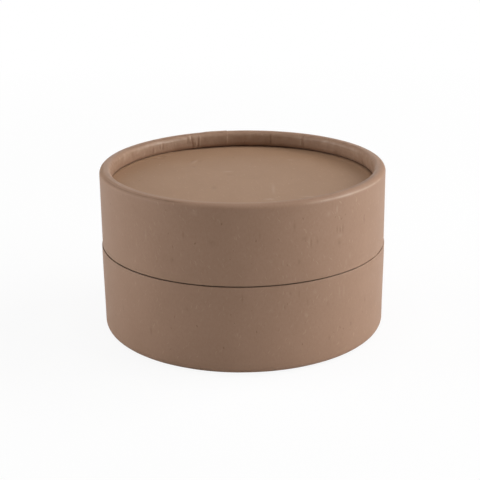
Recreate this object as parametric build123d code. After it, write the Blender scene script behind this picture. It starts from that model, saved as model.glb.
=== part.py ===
from build123d import *
import os

os.makedirs("parts", exist_ok=True)

# Cylindrical gift tube box of kraft paper and board. Two halves cut from the same wound tube,
# each with a rim rolled inwards and a round panel set behind the roll. A second, narrower tube,
# the neck, is glued into the base and stands up inside the lid.
# Origin at the centre of the foot, +Z up, lengths in millimetres.

# The two halves
box_diameter = 86.0
base_height = 26.24
lid_height = 23.42
seam_gap = 0.34

# Plies of the outer tube, from the outside in
wrap_thickness = 0.2
outer_board_thickness = 0.6
inner_board_thickness = 0.6
liner_thickness = 0.1
mouth_edge_radius = 0.12

# Rolled rim of the lid: the wall turns in over its edge, crosses a narrow crest, turns down a
# short leg and is tucked back under. The radii are those of the wall's outer face.
lid_edge_radius = 1.6
lid_crest_width = 0.4
lid_roll_radius = 1.5
lid_roll_leg = 1.92
lid_tuck_radius = 1.7

# Rolled rim of the base, which is the foot that the box stands on
base_edge_radius = 2.2
base_crest_width = 0.6
base_roll_radius = 2.2
base_roll_leg = 0.4
base_tuck_radius = 2.5

# A bend with less radius than this left to a deeper ply is made square
smallest_bend = 0.01

# How far a rolled wall's cut end reaches across the hollow core of the roll
roll_tail_share = 0.875

# Round panels: kraft face paper drawn over a board disc, with a paper sheet on its inner side
panel_face_thickness = 0.2
lid_panel_board_thickness = 1.4
base_panel_board_thickness = 1.4
lid_lining_thickness = 0.15
floor_paper_thickness = 0.15

# Neck tube, and the room between its top and the underside of the lid's panel
neck_clearance = 0.15
neck_wrap_thickness = 0.15
neck_outer_board_thickness = 0.45
neck_inner_board_thickness = 0.45
neck_liner_thickness = 0.15
neck_edge_radius = 0.1
neck_headroom = 2.64

# Glue band between the neck and the base
glue_band_height = 10.0
glue_below_mouth = 1.5

# Worked out from the sizes above
outer_radius = box_diameter / 2
wall_thickness = wrap_thickness + outer_board_thickness + inner_board_thickness + liner_thickness
bore_radius = outer_radius - wall_thickness
box_height = base_height + seam_gap + lid_height
neck_radius = bore_radius - neck_clearance


class RolledRim:
    """A rim whose whole wall is rolled inwards, down a short leg and back out under itself."""

    def __init__(self, edge_radius, crest_width, roll_radius, leg, tuck_radius):
        self.radii = (edge_radius, roll_radius, tuck_radius)
        self.throat = outer_radius - edge_radius - crest_width - roll_radius
        self.depth = roll_radius + leg + tuck_radius
        core_inner = self.throat + wall_thickness
        self.tail_end = core_inner + roll_tail_share * (bore_radius - core_inner)


lid_rim = RolledRim(lid_edge_radius, lid_crest_width, lid_roll_radius, lid_roll_leg, lid_tuck_radius)
base_rim = RolledRim(base_edge_radius, base_crest_width, base_roll_radius, base_roll_leg, base_tuck_radius)


def bent_line(points, radii):
    """Straight lines from point to point, each inner point rounded to its radius, or left square."""
    edges = []
    start = Vector(points[0])
    for corner, following, radius in zip(points[1:], points[2:], radii):
        way_in = (Vector(corner) - start).normalized()
        way_out = (Vector(following) - Vector(corner)).normalized()
        bend_start = Vector(corner) - way_in * radius
        bend_end = Vector(corner) + way_out * radius
        edges.append(Line(start, bend_start))
        if radius > 0:
            edges.append(TangentArc(bend_start, bend_end, tangent=way_in))
        start = bend_end
    edges.append(Line(start, points[-1]))
    return edges


def bend_left(radius, offset):
    """The radius that a bend has at a depth of offset, or none where too little is left."""
    left = radius - offset
    return left if left > smallest_bend else 0


def rolled_line(rim, mouth_height, offset):
    """One face of a ply in section, rim down: the wall's outer face moved in by offset. A ply
    that lies deeper than a bend's radius turns square there."""
    wall_x = outer_radius - offset
    leg_x = rim.throat + offset
    tail_z = rim.depth - offset
    points = [(wall_x, mouth_height), (wall_x, offset), (leg_x, offset), (leg_x, tail_z), (rim.tail_end, tail_z)]
    return bent_line(points, [bend_left(radius, offset) for radius in rim.radii])


def lathed(edges):
    """A closed section in radius and height, turned about the box's axis."""
    return revolve(Plane.XZ * make_face(edges), Axis.Z)


def rolled_ply(rim, height, outer_offset, thickness, mouth_radius=0):
    """One ply of a rolled half, rim down, from its square-cut mouth to its tucked end."""
    inner_offset = outer_offset + thickness
    wall_x = outer_radius - outer_offset
    shoulder_height = height - mouth_radius
    shoulder_x = wall_x - mouth_radius
    edges = rolled_line(rim, shoulder_height, outer_offset)
    edges += rolled_line(rim, height, inner_offset)
    edges.append(Line((rim.tail_end, rim.depth - outer_offset), (rim.tail_end, rim.depth - inner_offset)))
    edges.append(Line((shoulder_x, height), (outer_radius - inner_offset, height)))
    if mouth_radius > 0:
        edges.append(CenterArc((shoulder_x, shoulder_height), mouth_radius, 0, 90))
    return lathed(edges)


def rolled_wall(half, rim, height):
    """The four plies of one half's rolled wall, rim down."""
    outer_board_offset = wrap_thickness
    inner_board_offset = outer_board_offset + outer_board_thickness
    liner_offset = inner_board_offset + inner_board_thickness
    return {
        half + "_wrap": rolled_ply(rim, height, 0, wrap_thickness, mouth_edge_radius),
        half + "_outer_board": rolled_ply(rim, height, outer_board_offset, outer_board_thickness),
        half + "_inner_board": rolled_ply(rim, height, inner_board_offset, inner_board_thickness),
        half + "_liner": rolled_ply(rim, height, liner_offset, liner_thickness),
    }


def disc(radius, bottom, thickness):
    """A flat disc whose lower face is at the height bottom."""
    return Pos(0, 0, bottom) * Cylinder(radius, thickness, align=(Align.CENTER, Align.CENTER, Align.MIN))


def ring(radius, inner_radius, bottom, height):
    """A straight tube whose lower end is at the height bottom."""
    return disc(radius, bottom, height) - disc(inner_radius, bottom, height)


def panel_face(rim, stack_thickness):
    """Face paper of a panel, rim down: it lies on the roll and is drawn up round the board's edge."""
    sheet = disc(bore_radius, rim.depth, panel_face_thickness)
    skirt_bottom = rim.depth + panel_face_thickness
    return sheet + ring(bore_radius, bore_radius - panel_face_thickness, skirt_bottom, stack_thickness)


def panel(half, inner_sheet, rim, board_thickness, inner_sheet_thickness):
    """Face paper, board disc and inner sheet of one panel, rim down."""
    board_bottom = rim.depth + panel_face_thickness
    sheet_bottom = board_bottom + board_thickness
    board_radius = bore_radius - panel_face_thickness
    return {
        half + "_panel_face": panel_face(rim, board_thickness + inner_sheet_thickness),
        half + "_panel_board": disc(board_radius, board_bottom, board_thickness),
        inner_sheet: disc(board_radius, sheet_bottom, inner_sheet_thickness),
    }


def neck_ply(radius, thickness, bottom, top, edge_radius=0):
    """One straight ply of the neck, its outer upper edge rounded where it leads the lid on."""
    tube = ring(radius, radius - thickness, bottom, top - bottom)
    if edge_radius > 0:
        lead_edge = tube.edges().group_by(Axis.Z)[-1].sort_by(SortBy.LENGTH)[-1]
        tube = fillet(lead_edge, edge_radius)
    return tube


def neck(bottom, top):
    """The neck's four plies, from the outside in."""
    outer_board_radius = neck_radius - neck_wrap_thickness
    inner_board_radius = outer_board_radius - neck_outer_board_thickness
    liner_radius = inner_board_radius - neck_inner_board_thickness
    return {
        "neck_wrap": neck_ply(neck_radius, neck_wrap_thickness, bottom, top, neck_edge_radius),
        "neck_outer_board": neck_ply(outer_board_radius, neck_outer_board_thickness, bottom, top),
        "neck_inner_board": neck_ply(inner_board_radius, neck_inner_board_thickness, bottom, top),
        "neck_liner": neck_ply(liner_radius, neck_liner_thickness, bottom, top),
    }


def neck_glue():
    """The glue that fills the room between the neck and the base's bore, just below the mouth."""
    band_bottom = base_height - glue_below_mouth - glue_band_height
    return ring(bore_radius, neck_radius, band_bottom, glue_band_height)


def turned_over(shape):
    """A lid piece made rim down, turned rim up and set at the top of the box."""
    return Pos(0, 0, box_height) * Rot(180, 0, 0) * shape


def gift_tube_box():
    """Every piece of the closed box, by name."""
    lid_stack = panel_face_thickness + lid_panel_board_thickness + lid_lining_thickness
    base_stack = panel_face_thickness + base_panel_board_thickness + floor_paper_thickness
    floor_height = base_rim.depth + base_stack
    neck_top = box_height - lid_rim.depth - lid_stack - neck_headroom

    pieces = rolled_wall("base", base_rim, base_height)
    pieces |= panel("base", "floor_paper", base_rim, base_panel_board_thickness, floor_paper_thickness)
    pieces |= neck(floor_height, neck_top)
    pieces["neck_glue"] = neck_glue()

    lid_pieces = rolled_wall("lid", lid_rim, lid_height)
    lid_pieces |= panel("lid", "lid_lining", lid_rim, lid_panel_board_thickness, lid_lining_thickness)
    pieces |= {node: turned_over(shape) for node, shape in lid_pieces.items()}
    return pieces


for node, shape in gift_tube_box().items():
    shape.label = node
    export_step(shape, "parts/" + node + ".step")
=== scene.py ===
import math
import random

import bmesh
import bpy
import numpy as np
from mathutils import Matrix, Vector, noise


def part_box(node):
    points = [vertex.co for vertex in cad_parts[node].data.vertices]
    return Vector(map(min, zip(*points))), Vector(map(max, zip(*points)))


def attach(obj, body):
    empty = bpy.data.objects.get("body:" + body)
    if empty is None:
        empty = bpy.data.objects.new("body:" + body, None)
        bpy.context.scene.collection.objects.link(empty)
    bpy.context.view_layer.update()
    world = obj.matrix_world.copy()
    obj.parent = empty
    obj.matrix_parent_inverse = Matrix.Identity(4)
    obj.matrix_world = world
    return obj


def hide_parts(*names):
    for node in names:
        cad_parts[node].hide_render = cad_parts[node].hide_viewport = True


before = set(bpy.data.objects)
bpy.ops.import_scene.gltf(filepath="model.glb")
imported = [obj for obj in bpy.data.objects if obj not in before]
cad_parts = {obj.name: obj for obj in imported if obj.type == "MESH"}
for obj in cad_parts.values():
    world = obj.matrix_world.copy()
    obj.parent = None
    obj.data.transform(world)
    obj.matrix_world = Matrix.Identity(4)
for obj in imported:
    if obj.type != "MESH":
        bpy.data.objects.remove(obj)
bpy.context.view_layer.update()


# The base's wrap: one sheet of natural kraft paper glued round the wound board tube, with a lap
# down the back. The whole wall is rolled inwards at the foot, so the paper goes under the rim and
# ends tucked against the bottom panel. Its upper edge is cut flush with the board at the seam.
MM = 0.001
box_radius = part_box("base_wrap")[1].x
box_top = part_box("lid_wrap")[1].z
base_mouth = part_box("base_wrap")[1].z
bore_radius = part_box("neck_glue")[1].x
wrap_thickness = box_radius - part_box("base_outer_board")[1].x
wall_thickness = box_radius - bore_radius
mouth_edge_radius = 0.12 * MM
roll_tail_share = 0.875
fewest_bend_steps = 4
weld_reach = 0.001 * MM
sharp_edge_degrees = 50
turned_away = 0.01


class Roll:
    """The rim's section: the wall turns in over its edge and a crest, down a leg and back under."""

    def __init__(self, edge_radius, crest_width, roll_radius, leg, tuck_radius):
        self.radii = (edge_radius, roll_radius, tuck_radius)
        self.edge = edge_radius
        self.throat = box_radius - edge_radius - crest_width - roll_radius
        self.depth = roll_radius + leg + tuck_radius
        core_inner = self.throat + wall_thickness
        self.tail_end = core_inner + roll_tail_share * (bore_radius - core_inner)
        self.over_crest = math.pi / 2 * edge_radius + crest_width
        self.under_roll = math.pi / 2 * roll_radius + leg


def straight(start, end, step):
    """Points and outward normals along a straight stretch of a section, without its last point."""
    start, end = np.array(start), np.array(end)
    way = end - start
    length = np.hypot(*way)
    count = max(1, round(length / step))
    share = np.arange(count)[:, None] / count
    across = np.array([-way[1], way[0]]) / length
    return np.hstack([start + share * way, np.tile(across, (count, 1))])


def bend(centre, radius, start_degrees, turn_degrees, step):
    """The same along an arc. A negative turn goes clockwise, with the paper's face outside."""
    count = max(fewest_bend_steps, round(abs(math.radians(turn_degrees)) * radius / step))
    angle = np.radians(start_degrees + turn_degrees * np.arange(count) / count)
    outward = np.stack([np.cos(angle), np.sin(angle)], 1)
    return np.hstack([np.array(centre) + radius * outward, outward])


def rolled_face(roll, top, step, depth=0):
    """The wall's outer face in section, rim down, from the height top to the tucked end, or the
    line at a depth under it, which turns square where it lies deeper than a bend's radius."""
    fine = step / 2
    edge, turn, tuck = (max(radius - depth, 0) for radius in roll.radii)
    wall_x, leg_x, tail_height = box_radius - depth, roll.throat + depth, roll.depth - depth
    return np.vstack([
        straight((wall_x, top), (wall_x, depth + edge), step),
        bend((wall_x - edge, depth + edge), edge, 0, -90, fine / 3),
        straight((wall_x - edge, depth), (leg_x + turn, depth), fine),
        bend((leg_x + turn, depth + turn), turn, -90, -90, fine / 2),
        straight((leg_x, depth + turn), (leg_x, tail_height - tuck), fine),
        bend((leg_x + tuck, tail_height - tuck), tuck, 180, -90, fine / 2),
        straight((leg_x + tuck, tail_height), (roll.tail_end, tail_height), fine),
        [[roll.tail_end, tail_height, 0, 1]],
    ])


def new_object(name, data):
    """Puts a mesh, a camera or a lamp in the scene, as an object with a name."""
    made = bpy.data.objects.new(name, data)
    bpy.context.scene.collection.objects.link(made)
    return made


def turned_mesh(name, grid, sheet, rub, closed, inside_out):
    """A mesh from a section turned about the axis. grid holds a point for each place along the
    section and each angle, and rub how far the paper is painted paler and glossier there, for
    wear and painted highlights, or darker below zero, for wear and painted shade.
    sheet holds where that point lies on the flat paper, in metres, with one angle more than the
    grid, so that the paper's pattern can break at its lap."""
    rows, turns = grid.shape[:2]
    bands = rows if closed else rows - 1
    row = np.repeat(np.arange(bands), turns)
    turn = np.tile(np.arange(turns), bands)
    next_row = (row + 1) % rows
    next_turn = (turn + 1) % turns
    corners = [(row, turn), (next_row, turn), (next_row, next_turn), (row, next_turn)]
    on_sheet = [(row, turn), (next_row, turn), (next_row, turn + 1), (row, turn + 1)]
    if inside_out:
        corners.reverse()
        on_sheet.reverse()
    quads = np.stack([at_row * turns + at_turn for at_row, at_turn in corners], 1)
    mesh = bpy.data.meshes.new(name)
    mesh.from_pydata(grid.reshape(-1, 3).tolist(), [], quads.tolist())
    places = np.zeros((len(quads), 4, 3), np.float32)
    for corner, place in enumerate(on_sheet):
        places[:, corner, :2] = sheet[place]
    layer = mesh.attributes.new("sheet", "FLOAT_VECTOR", "CORNER")
    layer.data.foreach_set("vector", places.ravel())
    wear_and_light_layer = mesh.attributes.new("rub", "FLOAT", "POINT")
    wear_and_light_layer.data.foreach_set("value", rub.astype(np.float32).ravel())
    weld = bmesh.new()
    weld.from_mesh(mesh)
    bmesh.ops.remove_doubles(weld, verts=weld.verts, dist=weld_reach)
    weld.to_mesh(mesh)
    weld.free()
    mesh.shade_smooth()
    mesh.set_sharp_from_angle(angle=math.radians(sharp_edge_degrees))
    return new_object(name, mesh)


def ripple(angle, along, size, seed):
    """Smooth noise of the given size over a turned surface, between about -1 and 1."""
    reach = box_radius / size
    x, y = np.cos(angle) * reach, np.sin(angle) * reach
    z = along / size + seed
    values = [noise.noise(point) for point in zip(x.ravel(), y.ravel(), z.ravel())]
    return np.array(values).reshape(angle.shape)


def rise(value, low, high):
    """A smooth step from 0 at low to 1 at high."""
    share = np.clip((value - low) / (high - low), 0, 1)
    return share * share * (3 - 2 * share)


def bump(off, width):
    """A soft bump: 1 at its middle, and next to nothing twice its width off."""
    return np.exp(-((off / width) ** 2))


def arc_from(angle, degrees):
    """How far round the box an angle is from a place given in degrees, along the wall, in metres."""
    off = (angle - math.radians(degrees) + math.pi) % (2 * math.pi) - math.pi
    return off * box_radius


lap_width = 7 * MM
lap_fade = 2 * MM
lap_height = 0.11 * MM
lap_edge_start, lap_edge_end = -0.05 * MM, 0.1 * MM


def lap_step(angle, lap_degrees, width, fade):
    """Where the end of a paper lies over its start: sharp on one side, soft on the other."""
    off = arc_from(angle, lap_degrees)
    return rise(off, lap_edge_start, lap_edge_end) * (1 - rise(off, width, width + fade))


def lap(angle, lap_degrees):
    """The height of a wrap's lap."""
    return lap_height * lap_step(angle, lap_degrees, lap_width, lap_fade)


def other_way(face):
    """A face of the wall's section run backwards, so that it looks into the wall."""
    return (face * [1, 1, -1, -1])[::-1]


def no_wear_or_painted_light(angle, along):
    """Paper with no wear and no painted light or shade."""
    return 0 * angle


def turned_paper(name, outline, relief, turns, face_rows=None, closed=True, flat=False, start_degrees=0,
                 top=None, rub=no_wear_or_painted_light):
    """A paper piece from its section: points and outward normals, clockwise, the paper's face
    first. relief gives how far the face stands out, and rub its wear and painted light and shade,
    by angle and way along the section. A flat piece is a disc of paper, and any other is a strip
    wound round the axis. A piece drawn upside down is turned over where the height of its top is given."""
    place, normal = outline[:, :2], outline[:, 2:]
    if face_rows is None:
        face_rows = int(np.argmax(np.abs(normal - normal[0]).sum(1) > turned_away))
    hop = np.hypot(*np.diff(place, axis=0).T)
    along = np.concatenate([[0], np.cumsum(hop)])
    start = math.radians(start_degrees)
    angle = start + 2 * math.pi * np.arange(turns) / turns
    stand, light_and_wear_grid = np.zeros((2, len(outline), turns))
    face = np.meshgrid(angle, along[:face_rows])
    stand[:face_rows] = relief(*face)
    light_and_wear_grid[:face_rows] = rub(*face)
    radius = place[:, :1] + stand * normal[:, :1]
    height = place[:, 1:] + stand * normal[:, 1:]
    if top is not None:
        height = top - height
    grid = np.stack([radius * np.cos(angle), radius * np.sin(angle), height], 2)
    round_angle = start + 2 * math.pi * np.arange(turns + 1) / turns
    if flat:
        on_sheet = [along[:, None] * np.cos(round_angle), along[:, None] * np.sin(round_angle)]
    else:
        on_sheet = np.broadcast_arrays(round_angle[None, :] * box_radius, along[:, None])
    return turned_mesh(name, grid, np.stack(on_sheet, 2), light_and_wear_grid, closed, inside_out=top is not None)


def rolled_wrap(name, roll, mouth, relief, rub, lap_degrees, turns, step, top=None):
    """A wrap with its roll, drawn rim down: its face, its back, and the square edge at the mouth."""
    edge = mouth_edge_radius
    wall = rolled_face(roll, mouth - edge, step)
    mouth_edge = bend((box_radius - edge, mouth - edge), edge, 90, -90, edge / 2)
    square_edge = [[box_radius - wrap_thickness, mouth, 0, 1]]
    back = other_way(rolled_face(roll, mouth - edge, 2 * step, wrap_thickness))
    outline = np.vstack([mouth_edge, wall, back, square_edge])
    face_rows = len(mouth_edge) + len(wall)
    return turned_paper(name, outline, relief, turns, face_rows, start_degrees=lap_degrees, top=top, rub=rub)


class Wire:
    """A socket of a finish, so that shader maths reads as plain sums."""

    def __init__(self, finish, socket):
        self.finish = finish
        self.socket = socket

    def sum(self, operation, first, second):
        inputs = {"Value": first, "Value_001": second}
        return self.finish.node("ShaderNodeMath", {"operation": operation}, inputs, "Value")

    def __add__(self, other):
        return self.sum("ADD", self, other)

    def __radd__(self, other):
        return self.sum("ADD", other, self)

    def __sub__(self, other):
        return self.sum("SUBTRACT", self, other)

    def __rsub__(self, other):
        return self.sum("SUBTRACT", other, self)

    def __mul__(self, other):
        return self.sum("MULTIPLY", self, other)

    def __rmul__(self, other):
        return self.sum("MULTIPLY", other, self)


class Finish:
    """A material, or the world, with its nodes."""

    def __init__(self, owner):
        self.owner = owner
        owner.use_nodes = True
        self.nodes = owner.node_tree.nodes
        self.links = owner.node_tree.links
        self.nodes.clear()

    def node(self, kind, settings, inputs, output):
        """Adds one node: its settings first, then its sockets' values or links."""
        node = self.nodes.new(kind)
        for name, value in settings.items():
            if name == "stops":
                self.set_stops(node.color_ramp, value)
            else:
                setattr(node, name, value)
        for socket in node.inputs:
            if socket.identifier in inputs:
                value = inputs[socket.identifier]
                if isinstance(value, Wire):
                    self.links.new(value.socket, socket)
                else:
                    socket.default_value = value
        if output is None:
            return node
        return Wire(self, next(found for found in node.outputs if found.identifier == output))

    def set_stops(self, ramp, stops):
        while len(ramp.elements) < len(stops):
            ramp.elements.new(0.5)
        for element, (place, level) in zip(ramp.elements, stops):
            element.position = place
            element.color = (level, level, level, 1)

    def mix(self, factor, first, second):
        """One colour over another."""
        inputs = {"Factor_Float": factor, "A_Color": first, "B_Color": second}
        return self.node("ShaderNodeMix", {"data_type": "RGBA"}, inputs, "Result_Color")

    def vector(self, operation, *places, output="Vector"):
        """Vector maths on up to three places."""
        inputs = dict(zip(("Vector", "Vector_001", "Vector_002"), places))
        return self.node("ShaderNodeVectorMath", {"operation": operation}, inputs, output)

    def stretched(self, place, scale, degrees=0):
        """A place turned in the sheet's plane, and then scaled along each direction."""
        turned = {"Vector": place, "Rotation": (0, 0, math.radians(degrees))}
        return self.vector("MULTIPLY", self.node("ShaderNodeMapping", {}, turned, "Vector"), scale)

    def cloud(self, place, detail, roughness=0.5):
        """Noise about zero, from -0.5 to 0.5."""
        inputs = {"Vector": place, "Scale": 1, "Detail": detail, "Roughness": roughness}
        return self.node("ShaderNodeTexNoise", {}, inputs, "Fac") - 0.5

    def ramp(self, value, stops):
        """A value by way of stops, each a place and the level there."""
        return self.node("ShaderNodeValToRGB", {"stops": stops}, {"Fac": value}, "Color")

    def strewn(self, place, scale=1):
        """Spots strewn at random: how far off the closest one is, and a random value of its own."""
        inputs = {"Vector": place, "Scale": scale}
        spot = self.node("ShaderNodeTexVoronoi", {"feature": "F1"}, inputs, None)
        return Wire(self, spot.outputs["Distance"]), Wire(self, spot.outputs["Color"])

    def embossed(self, relief, height, strength):
        """The shading of a relief too fine for the mesh."""
        inputs = {"Strength": strength, "Distance": height, "Height": relief}
        return self.node("ShaderNodeBump", {}, inputs, "Normal")

    def surface(self, inputs):
        """The finish's principled surface."""
        shader = self.node("ShaderNodeBsdfPrincipled", {}, inputs, "BSDF")
        self.node("ShaderNodeOutputMaterial", {}, {"Surface": shader}, None)
        return self.owner


per_mm = 1000
dark_pulp = (0.289, 0.173, 0.111, 1)
pale_pulp = (0.361, 0.225, 0.153, 1)
shive_brown = (0.15, 0.082, 0.046, 1)
pale_fibre = (0.56, 0.41, 0.29, 1)
# How many cells each pattern has, across the sheet and along it
cloud_cells = (0.11 * per_mm, 0.09 * per_mm, 1)
flock_cells = (1.3 * per_mm, 0.9 * per_mm, 1)
swirl_cells = (0.6 * per_mm, 0.6 * per_mm, 1)
fibre_cells = (5.5 * per_mm, 0.5 * per_mm, 1)
crossing_cells = (4.5 * per_mm, 0.6 * per_mm, 1)
shive_cells = (0.75 * per_mm, 0.3 * per_mm, 1)
hair_cells = (1.6 * per_mm, 0.22 * per_mm, 1)
crossing_degrees, shive_degrees, hair_degrees = 62, 8, -24
fibre_wander = 1.4 * MM
paper_relief = 0.03 * MM
paper_roughness = 0.56


def kraft_paper(name, dark, pale):
    """Natural kraft paper: cloudy brown pulp, long fibres that lie mostly one way, a few dark
    shives and pale fibres, and the faint relief that they give the surface."""
    paper = Finish(bpy.data.materials.new(name))
    place = paper.node("ShaderNodeAttribute", {"attribute_name": "sheet"}, {}, "Vector")
    clouds = paper.cloud(paper.stretched(place, cloud_cells), 3)
    flocks = paper.cloud(paper.stretched(place, flock_cells), 3, 0.6)
    swirl_inputs = {"Vector": paper.stretched(place, swirl_cells), "Scale": 1, "Detail": 1}
    swirl = paper.node("ShaderNodeTexNoise", {}, swirl_inputs, "Color")
    bent = paper.vector("MULTIPLY_ADD", swirl, (fibre_wander, fibre_wander, 0), place)
    fibres = paper.cloud(paper.stretched(bent, fibre_cells), 2, 0.6)
    crossing = paper.cloud(paper.stretched(bent, crossing_cells, crossing_degrees), 2, 0.6)
    tone = 0.5 + 0.6 * clouds + 0.7 * flocks + 0.6 * fibres + 0.4 * crossing
    pulp = paper.mix(tone, dark, pale)

    to_shive, chance = paper.strewn(paper.stretched(bent, shive_cells, shive_degrees))
    shive = paper.ramp(to_shive, [(0.07, 0.5), (0.13, 0)]) * paper.ramp(chance, [(0.62, 0), (0.7, 1)])
    to_hair, _ = paper.strewn(paper.stretched(bent, hair_cells, hair_degrees))
    pale_hair = paper.ramp(to_hair, [(0.08, 0.26), (0.18, 0)])
    colour = paper.mix(shive, paper.mix(pale_hair, pulp, pale_fibre), shive_brown)
    # Above zero, the attribute read here paints the paper paler and gives it a coat, for painted highlights
    # and polish; below zero it paints it darker, for painted shade and bruises.
    rub = paper.node("ShaderNodeAttribute", {"attribute_name": "rub"}, {}, "Fac")
    polish_and_painted_light = paper.ramp(rub, [(0, 0), (1, 1)])
    bruise_and_painted_shade = paper.ramp(0 - rub, [(0, 0), (1, 1)])
    colour = paper.mix(0.7 * bruise_and_painted_shade, paper.mix(0.3 * polish_and_painted_light, colour, pale_fibre), shive_brown)
    relief = 0.5 * flocks + 0.5 * fibres + 0.4 * crossing
    return paper.surface({
        "Base Color": colour,
        "Roughness": paper_roughness + 0.12 * flocks,
        "IOR": 1.45,
        "Specular IOR Level": 0.27,
        "Sheen Weight": 0.05,
        "Coat Weight": 0.5 * polish_and_painted_light,
        "Coat Roughness": 0.3,
        "Normal": paper.embossed(relief, paper_relief, 0.5),
    })


wall_wave = 0.035 * MM
wave_stretch, narrow_stretch = 0.6, 0.35
broad_wave, narrow_wave = 14 * MM, 3.5 * MM
crease_start_fade, crease_end_fade = 0.8 * MM, 0.6 * MM
roll_fade = 1.5 * MM
mouth_fade = 1 * MM
base_swell = 0.2 * MM
base_swell_top, base_swell_foot = 3 * MM, 2 * MM
base_lap_degrees = 112
base_roll = Roll(edge_radius=2.2 * MM, crest_width=0.6 * MM, roll_radius=2.2 * MM, leg=0.4 * MM,
                 tuck_radius=2.5 * MM)
base_gather, base_gather_size = 0.04 * MM, 1.1 * MM
base_tuck_start = base_roll.under_roll + 1.5 * MM
base_tuck_end = base_roll.under_roll + 3.5 * MM
foot_middle, foot_flat, foot_clear = 0.3 * MM, 0.8 * MM, 1 * MM
pleat_random = random.Random(11)


def pleats(roll, count, height):
    """Random creases that the paper takes up as the rim is rolled inwards. Each has a place in
    degrees, a width, a lean, a start and end past the crest, a height (below zero for a groove),
    and a tone of the same sign: a painted highlight along a ridge and painted shade along a groove."""
    found = []
    for _ in range(count):
        raised = pleat_random.choice((-1, -1, 1))
        found.append((
            pleat_random.uniform(0, 360),
            pleat_random.uniform(0.25, 0.7) * MM,
            pleat_random.uniform(-0.5, 0.5) * MM,
            pleat_random.uniform(0.1, 0.6) * roll.edge,
            pleat_random.uniform(1.4, 2.4) * roll.edge,
            raised * pleat_random.uniform(0.3, 1) * height,
            raised * pleat_random.uniform(0, 0.35),
        ))
    return found


def crease(angle, past_crest, degrees, width, lean, start, end):
    """One pleat's shape: 1 along its middle and 0 off it."""
    middle = (start + end) / 2
    sway = lean * np.sin(math.pi * (past_crest - middle) / (end - start))
    off = arc_from(angle, degrees) - sway
    started = rise(past_crest, start, start + crease_start_fade)
    ended = rise(past_crest, end - crease_end_fade, end)
    return bump(off, width) * started * (1 - ended)


def wall_relief(angle, along, seed):
    """The slight unevenness of paper glued on a wound tube."""
    broad = ripple(angle, along * wave_stretch, broad_wave, seed)
    narrow = ripple(angle, along * narrow_stretch, narrow_wave, seed + 7)
    return wall_wave * (0.8 * broad + 0.45 * narrow)


nick_random = random.Random(23)
behind_from_degrees, behind_to_degrees = -10, 190


def random_nicks(count, low, high):
    """Short fibres and scuffs in a wall's paper at the sides and back, between two heights above
    the foot. Each has a place in degrees, a height, a half width and half length, and a tone."""
    found = []
    for _ in range(count):
        found.append((
            nick_random.uniform(behind_from_degrees, behind_to_degrees),
            nick_random.uniform(low, high),
            nick_random.uniform(0.2, 0.45) * MM,
            nick_random.uniform(0.4, 1.3) * MM,
            nick_random.uniform(0.2, 0.45) * nick_random.choice((-1, -1, 1)),
        ))
    return found


def nicked(angle, height, nicks):
    """The tone of all the nicks together."""
    tone = 0 * angle
    for degrees, middle, width, length, strength in nicks:
        tone += strength * bump(arc_from(angle, degrees), width) * bump(height - middle, length)
    return tone


def in_mm(rows, *columns):
    """Rows of marks, with the lengths in the given columns turned into metres."""
    return [[value * MM if column in columns else value for column, value in enumerate(row)] for row in rows]


base_nicks = random_nicks(count=34, low=4 * MM, high=25 * MM) + in_mm([
    (287.4, 23.8, 0.35, 0.5, -0.5),
    (286.8, 23.2, 0.3, 0.5, 0.4),
    (290.8, 23.3, 0.25, 1.0, -0.35),
    (297.4, 23.1, 0.6, 0.5, 0.4),
    (294.3, 20.3, 0.25, 0.9, -0.35),
    (302.6, 19.6, 0.25, 0.9, 0.4),
    (303.1, 18.5, 0.5, 0.5, -0.45),
    (308.8, 21.0, 0.25, 1.2, 0.4),
    (311.1, 20.8, 0.25, 1.2, 0.4),
    (324.9, 15.2, 0.3, 0.9, -0.4),
    (285.2, 19.8, 0.4, 0.6, -0.4),
    (293.8, 16.5, 0.5, 0.6, 0.45),
    (315.6, 9.7, 0.35, 0.7, -0.6),
    (304.4, 7.7, 0.35, 0.6, -0.4),
    (269.5, 23.0, 0.25, 1.2, -0.45),
    (215.3, 13.3, 0.25, 1.6, -0.35),
    (231.9, 9.8, 0.3, 1.2, -0.5),
    (248.5, 19.0, 0.5, 0.6, -0.3),
], 1, 2, 3)


def between(angle, start_degrees, end_degrees, fade_degrees):
    """1 from one place round the box to another, and a soft fall to 0 past either. A span holds
    the three of them in degrees."""
    middle, half = (start_degrees + end_degrees) / 2, (end_degrees - start_degrees) / 2
    off = np.degrees(np.abs(arc_from(angle, middle))) / box_radius
    return 1 - rise(off, half, half + fade_degrees)


darker_edge_start, darker_edge_end = 0.1 * MM, 0.2 * MM
darker_edge_span = (205, 234, 10)


def base_marks(angle, along):
    """The nicks, and the cut edge, which is darker at the left front."""
    darker_edge = (1 - rise(along, darker_edge_start, darker_edge_end)) * between(angle, *darker_edge_span)
    return nicked(angle, base_mouth - along, base_nicks) - 0.5 * darker_edge


base_pleats = pleats(base_roll, count=46, height=0.09 * MM)


def base_relief(angle, along):
    """The wall's unevenness, swell and lap, and the roll's creases, with the foot kept flat."""
    past_crest = along - (base_mouth - base_roll.edge) - base_roll.over_crest
    stand = wall_relief(angle, along, seed=3)
    rolled = rise(past_crest, 0, roll_fade)
    stand += base_gather * rolled * ripple(angle, along, base_gather_size, seed=21)
    for *pleat, height, _ in base_pleats:
        stand += height * crease(angle, past_crest, *pleat)
    tucked = rise(past_crest, base_tuck_start, base_tuck_end)
    stand = stand * rise(along, 0, mouth_fade) * (1 - tucked)
    swell_end = 1 - rise(along, base_swell_top, base_mouth - base_swell_foot)
    stand += base_swell * rise(along, 0, mouth_edge_radius) * swell_end
    foot = np.abs(past_crest + foot_middle)
    stand = np.where(foot < foot_flat, np.minimum(stand, 0), stand)
    return stand + lap(angle, base_lap_degrees) * (foot > foot_clear) * (1 - tucked)


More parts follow.
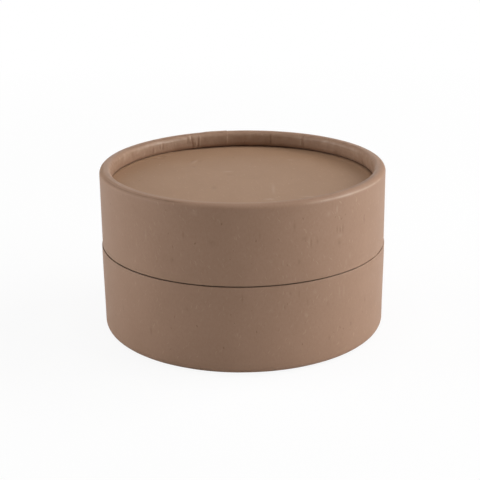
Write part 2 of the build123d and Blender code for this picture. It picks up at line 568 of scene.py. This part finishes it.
finishes = {"kraft_wrap": kraft_paper("kraft_wrap_paper", dark_pulp, pale_pulp)}


def put_in_place(piece, body, node, slot, finish=None):
    """Gives a new piece its finish and its body, and lets it stand for its CAD node."""
    piece.data.materials.append(finish or finishes[slot])
    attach(piece, body)
    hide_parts(node)


paper_step = 0.8 * MM
paper_turns = 960
base_wrap_paper = rolled_wrap(
    "base_wrap_paper", base_roll, base_mouth, base_relief, base_marks, base_lap_degrees, paper_turns,
    paper_step)
put_in_place(base_wrap_paper, "base", "base_wrap", "kraft_wrap")


# The base's board: two plies of grey recycled board, wound with the wrap and rolled in under it.
# Their cut edges show at the mouth, a little rough from the knife.
board_dark = (0.215, 0.152, 0.105, 1)
board_pale = (0.36, 0.272, 0.197, 1)
board_fleck = (0.1, 0.075, 0.055, 1)
board_layers = 9 * per_mm
board_drift = 2.2 * per_mm
board_streaks_round = 26
scrap_cells = (1.1 * per_mm, 1.1 * per_mm, 1.4 * per_mm)
fleck_cells = 1.6 * per_mm
board_relief = 0.06 * MM


def wound_board(name):
    """Raw board: layers of short grey-brown fibres laid round the tube, with darker flecks."""
    board = Finish(bpy.data.materials.new(name))
    place = board.node("ShaderNodeTexCoord", {}, {}, "Object")
    level = board.vector("MULTIPLY", place, (1, 1, 0))
    out = board.vector("LENGTH", level, output="Value")
    facing = board.vector("NORMALIZE", level)
    height = board.node("ShaderNodeSeparateXYZ", {}, {"Vector": place}, "Z")
    layer = board_layers * out + board_drift * height
    layers = board.node("ShaderNodeCombineXYZ", {}, {"Z": layer}, "Vector")
    wound = board.vector("MULTIPLY_ADD", facing, (board_streaks_round, board_streaks_round, 0), layers)
    streaks = board.cloud(wound, 3, 0.6)
    scraps = board.cloud(board.stretched(place, scrap_cells), 3, 0.6)
    pulp = board.mix(0.5 + 1.1 * streaks + 0.9 * scraps, board_dark, board_pale)
    to_fleck, chance = board.strewn(place, fleck_cells)
    flecks = board.ramp(to_fleck, [(0.18, 0.55), (0.3, 0)]) * board.ramp(chance, [(0.7, 0), (0.78, 1)])
    return board.surface({
        "Base Color": board.mix(flecks, pulp, board_fleck),
        "Roughness": 0.86 + 0.1 * scraps,
        "IOR": 1.45,
        "Specular IOR Level": 0.25,
        "Normal": board.embossed(streaks + 0.6 * scraps, board_relief, 0.8),
    })


raw_board = wound_board("raw_board")


def show_as(material, *nodes):
    """Gives CAD pieces that keep their own mesh a better finish."""
    for node in nodes:
        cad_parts[node].data.materials[0] = material


show_as(raw_board, "base_outer_board", "base_inner_board")


# The base's liner: thin, paler kraft paper on the inside of the wound wall. The neck covers it, so
# only its cut edge shows, as the innermost line of the mouth.
liner_dark = (0.33, 0.207, 0.134, 1)
liner_pale = (0.41, 0.268, 0.18, 1)
liner_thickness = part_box("base_liner")[1].x - bore_radius
liner_lap_degrees = 83
liner_lap_height, liner_lap_width = 0.04 * MM, 3 * MM
liner_wave, liner_wave_size = 0.02 * MM, 9 * MM
liner_wall_start, liner_wall_end = 8 * MM, 10 * MM
ridge_top = 0.1 * MM
inside_turns = 480
finishes["kraft_liner"] = kraft_paper("kraft_liner_paper", liner_dark, liner_pale)


def rolled_liner(name, roll, mouth, relief, lap_degrees, top=None):
    """The liner of a rolled wall, drawn rim down: its face to the inside, then its glued back."""
    face = other_way(rolled_face(roll, mouth, paper_step, wall_thickness))
    back = rolled_face(roll, mouth, paper_step, wall_thickness - liner_thickness)
    outline = np.vstack([face, back])
    return turned_paper(name, outline, relief, inside_turns, len(face), start_degrees=lap_degrees, top=top)


def lap_ridge(angle, lap_degrees, width):
    """The low ridge over a lap that lies underneath: 1 along it and 0 off it."""
    return 1 - rise(np.abs(arc_from(angle, lap_degrees)), ridge_top, width)


def liner_relief(angle, along):
    """A faint wave and the ridge of the liner's own lap, on the straight part of the wall."""
    ridge = liner_lap_height * lap_ridge(angle, liner_lap_degrees, liner_lap_width)
    on_wall = rise(along, liner_wall_start, liner_wall_end)
    return on_wall * (ridge + liner_wave * ripple(angle, along * wave_stretch, liner_wave_size, seed=61))


base_liner_paper = rolled_liner("base_liner_paper", base_roll, base_mouth, liner_relief, base_lap_degrees)
put_in_place(base_liner_paper, "base", "base_liner", "kraft_liner")


# The bottom panel: kraft paper drawn over a disc of board and down round its edge, pushed in behind
# the roll with its face down. A sheet of liner paper covers its upper side as the floor inside.
sheet_edge = 0.05 * MM
panel_edge = 0.15 * MM
panel_turns = 720
disc_step = 0.9 * MM
cockle_size = 13 * MM
cockle_end, cockle_start = 2 * MM, 6 * MM
sheet_cockle = 0.05 * MM
panel_dark = (0.28, 0.16, 0.089, 1)
panel_pale = (0.35, 0.208, 0.122, 1)
panel_kraft = kraft_paper("kraft_panel_paper", panel_dark, panel_pale)


def section(corners, step, closed):
    """A section through square corners, clockwise. Each corner has its place and edge radius."""
    rows = []
    for first, second in zip(corners, corners[1:] + corners[:1] if closed else corners[1:]):
        start, end = np.array(first[:2]), np.array(second[:2])
        way = (end - start) / np.hypot(*(end - start))
        side = np.array([-way[1], way[0]])
        edge = second[2]
        rows.append(straight(start + first[2] * way, end - edge * way, step))
        if edge > 0:
            facing = math.degrees(math.atan2(side[1], side[0]))
            rows.append(bend(end - edge * way - edge * side, edge, facing, -90, edge / 2))
    if not closed:
        rows.append([[*corners[-1][:2], *side]])
    return np.vstack(rows)


def covered_panel(name, face_height, stack, relief, step, top=None, rub=no_wear_or_painted_light):
    """The panel's face paper, drawn face up, with the skirt that is drawn down round the board."""
    skirt_foot = face_height - stack
    inner = bore_radius - wrap_thickness
    under = face_height - wrap_thickness
    face = [(0, face_height, 0), (bore_radius, face_height, panel_edge), (bore_radius, skirt_foot, 0)]
    back = [(inner, skirt_foot, 0), (inner, under, 0), (0, under, 0)]
    outline = section(face + back, step, closed=False)
    return turned_paper(name, outline, relief, panel_turns, closed=False, flat=True, top=top, rub=rub)


def paper_disc(name, face_height, thickness, relief, top=None):
    """A round sheet of paper, drawn face up."""
    radius = bore_radius - wrap_thickness
    back = face_height - thickness
    corners = [(0, face_height, 0), (radius, face_height, sheet_edge), (radius, back, 0), (0, back, 0)]
    outline = section(corners, disc_step, closed=False)
    return turned_paper(name, outline, relief, inside_turns, closed=False, flat=True, top=top)


def sheet_wave(height, seed):
    """The slight cockle of a sheet pasted on board: none at its rim, where it is held."""
    def relief(angle, along):
        x, y = along * np.cos(angle), along * np.sin(angle)
        points = zip(x.ravel() / cockle_size, y.ravel() / cockle_size, np.full(x.size, float(seed)))
        wave = np.array([noise.noise(point) for point in points]).reshape(x.shape)
        return height * wave * (1 - rise(along, bore_radius - cockle_start, bore_radius - cockle_end))
    return relief


floor_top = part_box("floor_paper")[1].z
floor_thickness = floor_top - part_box("base_panel_board")[1].z
base_panel_paper = covered_panel(
    "base_panel_paper", -base_roll.depth, floor_top - base_roll.depth, sheet_wave(sheet_cockle, seed=5),
    step=0.7 * MM, top=0)
put_in_place(base_panel_paper, "base", "base_panel_face", "kraft_wrap", panel_kraft)
show_as(raw_board, "base_panel_board")
inside_floor_paper = paper_disc(
    "inside_floor_paper", floor_top, floor_thickness, sheet_wave(sheet_cockle, seed=8))
put_in_place(inside_floor_paper, "base", "floor_paper", "kraft_liner")


# The neck: a narrower tube of two board plies, wrapped in kraft paper outside and lined with the
# paler paper inside. It stands on the floor, glued into the base, and the lid slides down over it.
neck_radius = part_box("neck_wrap")[1].x
neck_bottom, neck_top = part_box("neck_wrap")[0].z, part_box("neck_wrap")[1].z
neck_wrap_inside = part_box("neck_outer_board")[1].x
neck_liner_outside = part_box("neck_liner")[1].x
neck_liner_thickness = 0.15 * MM
neck_bore = neck_liner_outside - neck_liner_thickness
neck_edge = 0.1 * MM
neck_top_fade = 0.8 * MM
neck_lap_degrees = 70
neck_lap_height, neck_lap_width, neck_lap_fade = 0.05 * MM, 6 * MM, 3 * MM
neck_wave, neck_wave_size = 0.02 * MM, 11 * MM
neck_liner_lap_degrees = 95
neck_liner_lap_height, neck_liner_lap_width = 0.07 * MM, 4 * MM
neck_liner_wave, neck_liner_wave_size = 0.04 * MM, 12 * MM
neck_liner_top_fade = 1 * MM


def neck_relief(angle, along):
    """The wrap's low lap and a faint wave, faded out at the top."""
    low_lap = neck_lap_height * lap_step(angle, neck_lap_degrees, neck_lap_width, neck_lap_fade)
    wave = neck_wave * ripple(angle, along * wave_stretch, neck_wave_size, seed=71)
    return (low_lap + wave) * rise(along, 0, neck_top_fade)


def neck_inside_relief(angle, along):
    """The ridge over the liner's lap and a faint wave, faded out at the top."""
    ridge = neck_liner_lap_height * lap_ridge(angle, neck_liner_lap_degrees, neck_liner_lap_width)
    wave = neck_liner_wave * ripple(angle, along * wave_stretch, neck_liner_wave_size, seed=77)
    depth = neck_top - neck_bottom
    return (ridge + wave) * (1 - rise(along, depth - neck_liner_top_fade, depth))


wrap_corners = [(neck_radius, neck_top, neck_edge), (neck_radius, neck_bottom, 0),
                (neck_wrap_inside, neck_bottom, 0), (neck_wrap_inside, neck_top, 0)]
neck_wrap_paper = turned_paper(
    "neck_wrap_paper", section(wrap_corners, paper_step, closed=True), neck_relief, paper_turns,
    start_degrees=neck_lap_degrees)
put_in_place(neck_wrap_paper, "base", "neck_wrap", "kraft_wrap")
show_as(raw_board, "neck_outer_board", "neck_inner_board")
liner_corners = [(neck_bore, neck_bottom, 0), (neck_bore, neck_top, sheet_edge),
                 (neck_liner_outside, neck_top, 0), (neck_liner_outside, neck_bottom, 0)]
neck_liner_paper = turned_paper(
    "neck_liner_paper", section(liner_corners, paper_step, closed=True), neck_inside_relief, paper_turns,
    start_degrees=neck_lap_degrees)
put_in_place(neck_liner_paper, "base", "neck_liner", "kraft_liner")


# The glue: a band of white paper glue that fills the narrow room between the neck and the base's
# bore, a little below the mouth. It has dried to a pale, slightly cloudy film.
glue_dark = (0.58, 0.52, 0.41, 1)
glue_pale = (0.76, 0.71, 0.58, 1)
glue_cloud_cells = (0.5 * per_mm, 0.5 * per_mm, 0.3 * per_mm)
glue_drag_cells = (0.6 * per_mm, 0.6 * per_mm, 4 * per_mm)
glue_relief = 0.04 * MM


def paper_glue(name):
    """Dried paper glue: cloudy, with the drags of the brush round it."""
    glue = Finish(bpy.data.materials.new(name))
    place = glue.node("ShaderNodeTexCoord", {}, {}, "Object")
    clouds = glue.cloud(glue.stretched(place, glue_cloud_cells), 3)
    drags = glue.cloud(glue.stretched(place, glue_drag_cells), 2)
    return glue.surface({
        "Base Color": glue.mix(0.5 + 1.2 * clouds + 0.6 * drags, glue_dark, glue_pale),
        "Roughness": 0.45 + 0.3 * clouds,
        "Normal": glue.embossed(clouds + drags, glue_relief, 0.6),
    })


show_as(paper_glue("dried_paper_glue"), "neck_glue")


# The lid's wrap: the same paper on the same tube, rolled inwards over the top of the wall. The roll
# is tighter here, and the paper has taken up small pleats on its inner side as it was turned in.
lid_mouth_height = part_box("lid_wrap")[0].z
lid_height = box_top - lid_mouth_height
lid_lap_degrees = 97
lid_roll = Roll(edge_radius=1.6 * MM, crest_width=0.4 * MM, roll_radius=1.5 * MM, leg=1.92 * MM,
                tuck_radius=1.7 * MM)
lid_step = 0.7 * MM
lid_turns = 1320
lid_gather, lid_gather_size = 0.03 * MM, 1.2 * MM
lid_dent, lid_dent_size, dent_stretch = 0.08 * MM, 4 * MM, 0.7
lid_pucker, lid_pucker_size = 0.16 * MM, 2.4 * MM
pucker_start, pucker_end = 2.4 * MM, 4 * MM
pucker_span = (12, 46, 8)
lid_tuck_start = lid_roll.under_roll + 0.7 * MM
lid_tuck_end = lid_roll.under_roll + 1.5 * MM
lid_most_stand = 0.12 * MM
drawn_down = 0.12 * MM
drawn_start, drawn_end = 0.04 * MM, 0.2 * MM
drawn_span = (324, 356, 36)
sheen_fade, sheen_size, sheen_stretch = 1 * MM, 3.5 * MM, 2.5
edge_patch_size, band_patch_size = 3 * MM, 2 * MM
edge_fade_degrees, band_fade_degrees = 14, 12
lid_pleats = pleats(lid_roll, count=26, height=0.045 * MM)
# The listed pleats at the back and sides; their tones paint highlights and glints on ridges and shade in
# grooves.
lid_pleats += in_mm([
    (117.2, 0.24, 0.2, 1.0, 4.0, -0.05, -0.3),
    (115.9, 0.5, 0, 0.5, 3.2, 0.08, 0.5),
    (114.6, 0.24, -0.4, 1.0, 6.2, -0.08, -0.75),
    (113.5, 0.65, 0, 0.9, 3.9, 0.08, 0.35),
    (112.8, 0.22, 0.25, 2.9, 6.2, 0.08, 0.55),
    (111.7, 0.35, 0, 1.4, 6.2, -0.06, -0.3),
    (110.8, 0.22, 0.1, 0.8, 6.2, 0.08, 0.5),
    (119.2, 0.9, 0, 1.0, 3.6, 0.05, 0.3),
    (123.8, 0.3, 0, 2.4, 3.8, 0.06, 0.6),
    (125.5, 0.4, 0, 1.6, 3.0, 0.06, 0.8),
    (128.5, 1.0, 0, 1.6, 2.9, 0.05, 0.6),
    (130.9, 0.3, 0.1, 1.8, 4.6, -0.1, -0.6),
    (131.9, 0.35, 0, 1.4, 4.4, 0.06, 0.3),
    (132.8, 0.28, 0, 2.1, 4.2, -0.08, -0.5),
    (133.4, 0.4, 0, 1.2, 2.8, 0.06, 0.9),
    (135.8, 0.4, 0, 2.9, 5.2, 0.06, 0.4),
    (136.9, 0.3, 0.1, 2.3, 5.2, -0.1, -0.6),
    (141.0, 1.3, 0.6, 1.0, 3.4, 0.07, 0.35),
    (143.2, 0.4, 0.2, 3.3, 5.8, 0.06, 0.6),
    (147.3, 0.7, 0.7, 0.9, 3.6, 0.08, 0.3),
    (152.0, 1.1, -0.5, 1.8, 5.0, -0.08, -0.1),
    (160.0, 1.6, 0.4, 1.0, 4.4, 0.08, 0.2),
    (164.6, 0.5, 0, 1.2, 2.6, 0.06, 0.5),
    (76.1, 0.34, 0, 1.2, 5.4, -0.1, -0.8),
    (60.6, 0.2, 0, 1.1, 4.8, 0.06, 0.5),
    (59.3, 0.42, -0.15, 0.9, 5.4, -0.1, -0.6),
    (46.0, 1.0, 0.4, 0.9, 2.6, 0.06, 0.3),
    (48.0, 1.5, 0.3, 0.9, 3.2, 0.04, 0.4),
    (42.0, 1.1, 0.3, 1.2, 3.6, 0.04, 0.35),
    (39.6, 1.2, 0, 3.6, 5.8, -0.12, -0.5),
    (28.0, 1.7, 0, 0.9, 3.4, 0.04, 0.4),
    (23.8, 1.1, 0, 1.6, 4.0, 0.04, 0.35),
    (18.0, 1.0, 0, 3.2, 5.8, -0.14, -0.6),
], 1, 2, 3, 4, 5)
lid_nicks = random_nicks(count=34, low=28 * MM, high=47 * MM) + in_mm([
    (276.0, 41.2, 0.25, 0.9, -0.3),
    (289.0, 43.1, 0.3, 0.9, -0.45),
    (295.7, 37.6, 0.25, 1.2, -0.5),
    (295.0, 37.9, 0.25, 1.2, 0.4),
    (292.9, 39.1, 0.9, 0.5, -0.35),
    (298.4, 37.8, 0.3, 0.7, -0.4),
    (307.4, 39.9, 0.22, 0.8, -0.6),
    (308.9, 39.6, 0.22, 0.8, -0.6),
    (310.3, 39.7, 0.22, 1.3, -0.65),
    (308.9, 38.0, 0.9, 0.5, 0.4),
    (308.5, 35.9, 0.6, 0.8, -0.4),
    (323.1, 40.1, 0.3, 0.9, -0.6),
    (303.3, 45.1, 0.6, 0.6, 0.5),
    (307.2, 45.8, 0.25, 0.9, 0.7),
    (314.4, 30.9, 0.5, 0.7, 0.4),
    (312.4, 29.4, 0.35, 0.8, 0.4),
    (290.8, 32.7, 0.4, 0.6, -0.4),
    (230.9, 38.5, 0.25, 1.4, 0.45),
    (247.7, 40.7, 0.25, 1.1, -0.45),
    (258.8, 39.1, 1.2, 0.5, -0.35),
    (242.9, 32.9, 0.5, 0.6, -0.45),
    (252.3, 47.4, 0.7, 0.5, 0.5),
], 1, 2, 3)
# Broad bands of painted light and shade along the roll: how far past the crest, half width, from and to in
# degrees, and tone
painted_roll_bands = in_mm([
    (2.3, 0.8, 122, 158, 0.35),
    (0.2, 0.6, 135, 160, -0.2),
    (2.6, 1.1, 8, 172, 0.4),
    (2.5, 1.0, 60, 118, 0.25),
    (0.8, 0.5, 30, 145, -0.28),
    (0.3, 0.6, 195, 345, -0.2),
    (0.45, 0.8, 292, 345, -0.35),
    (0.3, 0.5, 200, 240, -0.12),
], 0, 1)
# Lines along the rim's outer edge: degrees up its bend, half width, from and to in degrees, and the
# height or tone. The edge is folded sharply over a fine groove at the left front, and a small bead
# runs along it at the right front.
edge_folds = in_mm([
    (76, 0.3, 205, 240, 0.06),
    (50, 0.16, 205, 240, -0.11),
    (26, 0.18, 305, 330, 0.05),
], 1, 4)
# The tones are painted: a painted highlight along the bead at the right front, which also gets a coat of
# gloss, and painted shade along the groove at the left front and higher up the bend beside the bead.
edge_painted_light = in_mm([
    (26, 0.26, 303, 330, 1.25),
    (50, 0.2, 208, 240, -0.65),
    (62, 0.25, 288, 302, -0.3),
], 1)


def edge_lines(angle, along, lines):
    """The lines along the rim's outer edge, added up."""
    total = 0 * angle
    for degrees_up, width, start, end, amount in lines:
        up = along - (lid_height - lid_roll.edge) - math.radians(degrees_up) * lid_roll.edge
        total += amount * bump(up, width) * between(angle, start, end, edge_fade_degrees)
    return total


def past_lid_crest(along):
    """How far a place along the wrap is past the crest, down into the roll."""
    return along - (lid_height - lid_roll.edge) - lid_roll.over_crest


def lid_wear_and_painted_light(angle, along):
    """The painted highlight, with a coat of gloss, along the edge at the right front, and painted shade
    along the fold at the left front; random patches where the roll is paler and glossier or darker;
    bands of painted light and shade along the roll; the nicks; and the pleats' painted highlights and shade."""
    past_crest = past_lid_crest(along)
    uneven = 0.8 + 0.5 * ripple(angle, 0 * along, edge_patch_size, seed=55)
    rub = uneven * edge_lines(angle, along, edge_painted_light)
    rolled = rise(past_crest, 0, sheen_fade)
    rub += 0.3 * rolled * ripple(angle, along * sheen_stretch, sheen_size, seed=66)
    patchy = 1 + 0.8 * ripple(angle, along, band_patch_size, seed=75)
    for middle, width, start, end, tone in painted_roll_bands:
        band = bump(past_crest - middle, width) * between(angle, start, end, band_fade_degrees)
        rub += tone * patchy * band
    rub += nicked(angle, lid_mouth_height + along, lid_nicks)
    # The pleats' tones: painted highlights on ridges and painted shade in grooves.
    for *pleat, _, tone in lid_pleats:
        rub += tone * crease(angle, past_crest, *pleat)
    return np.clip(rub, -1, 1)


def lid_relief(angle, along):
    """The wall's unevenness and lap, the lines along the rim's edge, the roll's creases and
    puckers, and the cut edge, which is drawn down a little at the right front."""
    past_crest = past_lid_crest(along)
    stand = wall_relief(angle, along, seed=31) + edge_lines(angle, along, edge_folds)
    rolled = rise(past_crest, 0, roll_fade)
    stand += lid_gather * rolled * ripple(angle, along, lid_gather_size, seed=41)
    stand += lid_dent * rolled * ripple(angle, along * dent_stretch, lid_dent_size, seed=44)
    gathered = between(angle, *pucker_span) * rise(past_crest, pucker_start, pucker_end)
    stand += lid_pucker * gathered * ripple(angle, 0 * along, lid_pucker_size, seed=88)
    for *pleat, height, _ in lid_pleats:
        stand += height * crease(angle, past_crest, *pleat)
    tucked = rise(past_crest, lid_tuck_start, lid_tuck_end)
    stand = stand * rise(along, 0, mouth_fade) * (1 - tucked)
    stand = np.minimum(stand, lid_most_stand) + lap(angle, lid_lap_degrees) * (1 - tucked)
    cut_edge = (1 - rise(along, drawn_start, drawn_end)) * between(angle, *drawn_span)
    return stand + drawn_down * cut_edge


lid_wrap_paper = rolled_wrap(
    "lid_wrap_paper", lid_roll, lid_height, lid_relief, lid_wear_and_painted_light, lid_lap_degrees, lid_turns, lid_step,
    top=box_top)
put_in_place(lid_wrap_paper, "lid", "lid_wrap", "kraft_wrap")


# The lid's board and liner, as in the base: both are from the same tube. The cut ends of the plies
# show at the lid's mouth, and the liner shows inside.
lid_liner_most = 0.03 * MM


def lid_liner_relief(angle, along):
    """The same relief as the base liner's, kept low enough to clear the neck inside."""
    return np.clip(liner_relief(angle, along), -lid_liner_most, lid_liner_most)


show_as(raw_board, "lid_outer_board", "lid_inner_board")
lid_liner_paper = rolled_liner(
    "lid_liner_paper", lid_roll, lid_height, lid_liner_relief, lid_lap_degrees, top=box_top)
put_in_place(lid_liner_paper, "lid", "lid_liner", "kraft_liner")


# The lid's panel: kraft paper over a board disc, like the bottom panel but face up, pushed in from
# below against the roll. The paper has cockled slightly, with a small ridge and a fold or two.
lid_panel_top = box_top - lid_roll.depth
lid_panel_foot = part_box("lid_panel_face")[0].z
lid_lining_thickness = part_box("lid_lining")[1].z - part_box("lid_lining")[0].z
lid_cockle = 0.06 * MM
lip_height, lip_inset, lip_width, lip_wave_size = 0.05 * MM, 1.4 * MM, 0.5 * MM, 9 * MM
panel_fade = 1 * MM
edge_rise, edge_rise_start, edge_rise_end = 0.22 * MM, -0.6 * MM, 0.5 * MM
edge_rise_span = (126, 190, 16)
edge_wave_size = 2.5 * MM
room_left = 0.02 * MM
# Small marks: x, y, lean in degrees from +Y, half width, half length, height and tone. The tone has the
# height's sign: a painted highlight on a raised mark, painted shade in a sunken one.
lid_panel_marks = in_mm([
    (-15.2, 19.8, -16, 0.5, 2.5, 0.14, 0.35),
    (-16.2, 21.6, -16, 0.4, 1.3, -0.09, -0.3),
    (-13.7, 20.9, -16, 0.4, 1.5, -0.07, -0.25),
    (-15.1, 14.7, 0, 0.7, 0.9, -0.05, -0.25),
    (-4.5, 8.1, 90, 0.9, 1.5, 0.08, 0.25),
    (-4.0, 4.7, 90, 0.8, 1.2, -0.05, -0.2),
    (-8.5, -9.0, 0, 0.7, 1.6, -0.05, -0.35),
    (9.1, -11.0, 0, 0.4, 4.6, 0.05, 0.3),
    (7.7, -21.5, 90, 0.9, 1.4, 0.06, 0.35),
    (15.5, 21.5, 90, 0.7, 1.0, 0.06, 0.3),
    (18.8, -19.2, 80, 0.6, 2.2, 0.05, 0.25),
    (-28.3, 25.0, 90, 0.45, 1.1, -0.07, -0.45),
    (-27.1, 26.0, 0, 0.5, 1.0, 0.07, 0.4),
    (-25.9, 28.0, 90, 0.45, 1.1, -0.07, -0.4),
    (-25.9, 24.6, 90, 0.45, 1.1, -0.07, -0.4),
    (-24.3, 29.3, 90, 0.4, 0.9, 0.07, 0.45),
], 0, 1, 3, 4, 5)


def mark(x, y, centre_x, centre_y, lean_degrees, width, length):
    """One small mark's shape: 1 at its middle and 0 off it."""
    lean = math.radians(lean_degrees)
    over = (x - centre_x) * math.cos(lean) + (y - centre_y) * math.sin(lean)
    on = (y - centre_y) * math.cos(lean) - (x - centre_x) * math.sin(lean)
    return bump(over, width) * bump(on, length)


lid_panel_wave = sheet_wave(lid_cockle, seed=12)


def room_under_roll(along):
    """How far the flat panel lies below the roll's tucked side, from its throat outwards."""
    tuck = lid_roll.radii[2]
    over = np.clip(lid_roll.throat + tuck - along, 0, tuck)
    return tuck - np.sqrt(tuck ** 2 - over ** 2)


def lid_panel_relief(angle, along):
    """The cockle, the marks and a low ridge inside the roll, and the sheet's edge, which rises
    against the roll at the left."""
    x, y = along * np.cos(angle), along * np.sin(angle)
    stand = lid_panel_wave(angle, along)
    for *place, height, _ in lid_panel_marks:
        stand += height * mark(x, y, *place)
    past_throat = along - lid_roll.throat
    lip = bump(past_throat + lip_inset, lip_width)
    stand += lip_height * lip * np.clip(ripple(angle, 0 * along, lip_wave_size, seed=91) + 0.25, 0, 1)
    stand *= 1 - rise(past_throat, 0, panel_fade)
    wavy = 1 + 0.6 * ripple(angle, 0 * along, edge_wave_size, seed=97)
    at_roll = rise(past_throat, edge_rise_start, edge_rise_end) * between(angle, *edge_rise_span)
    stand += edge_rise * wavy * at_roll
    return np.minimum(stand, np.maximum(room_under_roll(along) - room_left, 0))


def lid_panel_mark_shading(angle, along):
    """The marks' tones: painted highlights on the raised ones and painted shade in the sunken ones."""
    x, y = along * np.cos(angle), along * np.sin(angle)
    return sum(tone * mark(x, y, *place) for *place, _, tone in lid_panel_marks)


lid_panel_paper = covered_panel(
    "lid_panel_paper", lid_panel_top, lid_panel_top - lid_panel_foot, lid_panel_relief, step=0.4 * MM,
    rub=lid_panel_mark_shading)
put_in_place(lid_panel_paper, "lid", "lid_panel_face", "kraft_wrap", panel_kraft)
show_as(raw_board, "lid_panel_board")
lid_lining_paper = paper_disc(
    "lid_lining_paper", -lid_panel_foot, lid_lining_thickness, sheet_wave(sheet_cockle, seed=17), top=0)
put_in_place(lid_lining_paper, "lid", "lid_lining", "kraft_liner")


# The camera stands in front and a little above, as in the photograph. The aim is a hair left of
# and above the box's middle, and the camera is turned by a fraction of a degree.
view_pitch = math.radians(18.95)
view_roll = math.radians(-0.636)
view_distance = 365.6 * MM
view_lens_mm = 88.85
view_sensor_mm = 36
aim_left = 0.96 * MM
aim_up = 0.39 * MM
box_middle = Vector((0, 0, box_top / 2))
level_right = Vector((1, 0, 0))
backwards = Vector((0, -math.cos(view_pitch), math.sin(view_pitch)))
level_up = backwards.cross(level_right)
camera_right = math.cos(view_roll) * level_right + math.sin(view_roll) * level_up
camera_up = backwards.cross(camera_right)
camera_place = box_middle + view_distance * backwards
aim = box_middle - aim_left * camera_right + aim_up * camera_up
aim_back = (camera_place - aim).normalized()
aim_right = (camera_right - camera_right.dot(aim_back) * aim_back).normalized()
aim_upright = aim_back.cross(aim_right)
turn = Matrix((aim_right, aim_upright, aim_back)).transposed().to_4x4()
camera_data = bpy.data.cameras.new("camera")
camera_data.lens = view_lens_mm
camera_data.sensor_width = view_sensor_mm
camera = new_object("camera", camera_data)
camera.matrix_world = Matrix.Translation(camera_place) @ turn
bpy.context.scene.camera = camera


# The stage: a plain white floor and a white room, lit by large soft lamps. Near the box the floor
# takes its shadow, and further off it is as white as the room.
white = (1, 1, 1, 1)
floor_reach = 20.0
white_near_box = 0.9
shadow_reach = 0.2
white_from = 0.45
floor_mesh = bpy.data.meshes.new("floor")
floor_corners = [(x * floor_reach, y * floor_reach, 0) for x, y in [(-1, -1), (1, -1), (1, 1), (-1, 1)]]
floor_mesh.from_pydata(floor_corners, [], [(0, 1, 2, 3)])
floor = new_object("floor", floor_mesh)
floor_finish = Finish(bpy.data.materials.new("white_floor"))
rays = floor_finish.node("ShaderNodeLightPath", {}, {}, "Is Camera Ray")
floor_place = floor_finish.node("ShaderNodeTexCoord", {}, {}, "Object")
from_box = floor_finish.vector("LENGTH", floor_place, output="Value")
whiteness = floor_finish.ramp(from_box, [(shadow_reach, white_near_box), (white_from, 1)])
matt = floor_finish.node("ShaderNodeBsdfDiffuse", {}, {"Color": (0.88, 0.88, 0.88, 1)}, "BSDF")
glow = floor_finish.node("ShaderNodeEmission", {}, {"Color": white}, "Emission")
seen_inputs = {"Fac": whiteness * rays, "Shader": matt, "Shader_001": glow}
seen = floor_finish.node("ShaderNodeMixShader", {}, seen_inputs, "Shader")
floor_finish.node("ShaderNodeOutputMaterial", {}, {"Surface": seen}, None)
floor_mesh.materials.append(floor_finish.owner)

room = bpy.data.worlds.new("white_room")
bpy.context.scene.world = room
room_finish = Finish(room)
room_light = (0.02, 0.02, 0.02, 1)
room_rays = room_finish.node("ShaderNodeLightPath", {}, {}, "Is Camera Ray")
room_inputs = {"Color": room_finish.mix(room_rays, room_light, white)}
room_shader = room_finish.node("ShaderNodeBackground", {}, room_inputs, "Background")
room_finish.node("ShaderNodeOutputWorld", {}, {"Surface": room_shader}, None)

lamp_distance = 0.9
lamp_width = 0.5


def softbox(name, degrees_round, degrees_up, height, watts):
    """A large soft lamp that faces the box. 0 degrees round is at the camera, 90 at its right."""
    around, up = math.radians(degrees_round), math.radians(degrees_up)
    away = Vector((math.sin(around) * math.cos(up), -math.cos(around) * math.cos(up), math.sin(up)))
    lamp_data = bpy.data.lights.new(name, "AREA")
    lamp_data.shape = "RECTANGLE"
    lamp_data.size = lamp_width
    lamp_data.size_y = height
    lamp_data.energy = watts
    lamp = new_object(name, lamp_data)
    lamp.location = box_middle + lamp_distance * away
    lamp.rotation_mode = "QUATERNION"
    lamp.rotation_quaternion = away.to_track_quat("Z", "Y")


# Each lamp's name, degrees round and up, height and power
softboxes = [
    ("left_softbox", -75, 8, 0.5, 2.85),
    ("left_rear_softbox", -105, 8, 0.5, 2.35),
    ("left_high_softbox", -98, 38, 0.5, 1.4),
    ("right_softbox", 75, 14, 0.6, 5.75),
    ("right_high_softbox", 105, 38, 0.5, 4.2),
    ("back_softbox", 180, 12, 0.5, 1.15),
    ("top_softbox", 0, 88, 0.5, 2.87),
]
for lamp_settings in softboxes:
    softbox(*lamp_settings)

bpy.context.scene.view_settings.view_transform = "Standard"
